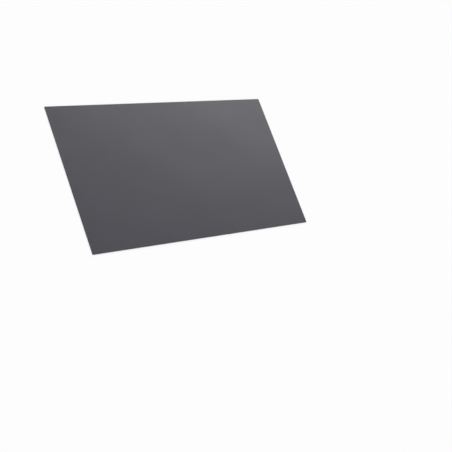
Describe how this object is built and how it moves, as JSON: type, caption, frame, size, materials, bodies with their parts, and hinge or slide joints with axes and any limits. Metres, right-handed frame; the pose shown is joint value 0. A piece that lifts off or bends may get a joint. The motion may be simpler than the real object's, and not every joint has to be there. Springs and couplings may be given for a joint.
{
  "type": "laptop privacy filter",
  "caption": "Thin flat rectangle of smoked see-through film with clean cut edges, laid over a laptop screen so that it can be read only from straight ahead.",
  "frame": {"origin": "centre of the back face, on the surface that the sheet lies on", "axes": "+X along the width, to the right of someone who looks at the screen; +Y up the screen; +Z out of the front face, towards the viewer"},
  "size_m": [0.344, 0.1934, 0.0005],
  "materials": {
    "smoked_film": "matte smoked film, see-through"
  },
  "bodies": {
    "root": {"filter_sheet": "smoked_film"}
  },
  "joints": []
}
